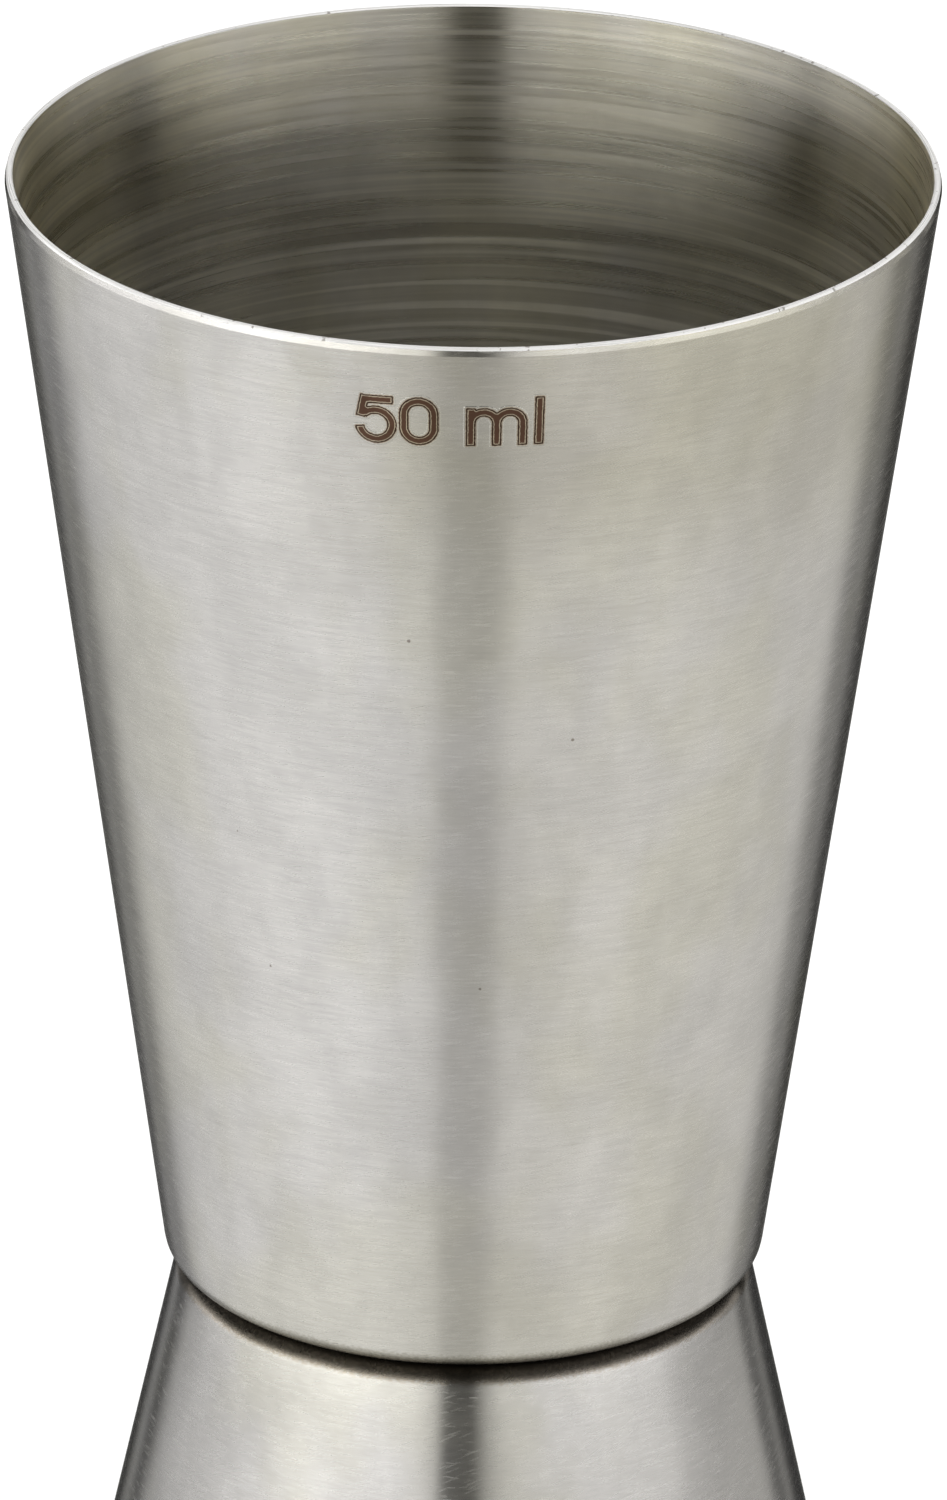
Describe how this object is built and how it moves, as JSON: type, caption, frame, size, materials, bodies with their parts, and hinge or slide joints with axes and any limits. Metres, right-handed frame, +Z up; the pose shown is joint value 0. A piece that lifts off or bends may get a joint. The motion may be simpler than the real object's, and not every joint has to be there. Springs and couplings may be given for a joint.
{
  "type": "bar jigger",
  "caption": "Double-ended spirit measure: a tall tapered cup standing on a shorter tapered cup, both drawn in brushed stainless steel and welded base to base.",
  "frame": {"origin": "centre of the small cup's rim, which the jigger stands on", "axes": "+Z up along the common axis of both cups, towards the large cup's mouth; -Y is the side with the capacity marks"},
  "size_m": [0.0426, 0.0426, 0.0842],
  "materials": {
    "brushed_steel": "stainless steel brushed round the axis, with a bright trimmed lip",
    "weld_steel": "fused stainless steel, slightly heat tinted",
    "etched_mark": "brown laser-annealed capacity mark with a pale edge"
  },
  "bodies": {
    "root": {"large_cup": "brushed_steel", "small_cup": "brushed_steel", "spot_weld_1": "weld_steel", "spot_weld_2": "weld_steel", "spot_weld_3": "weld_steel"}
  },
  "joints": []
}
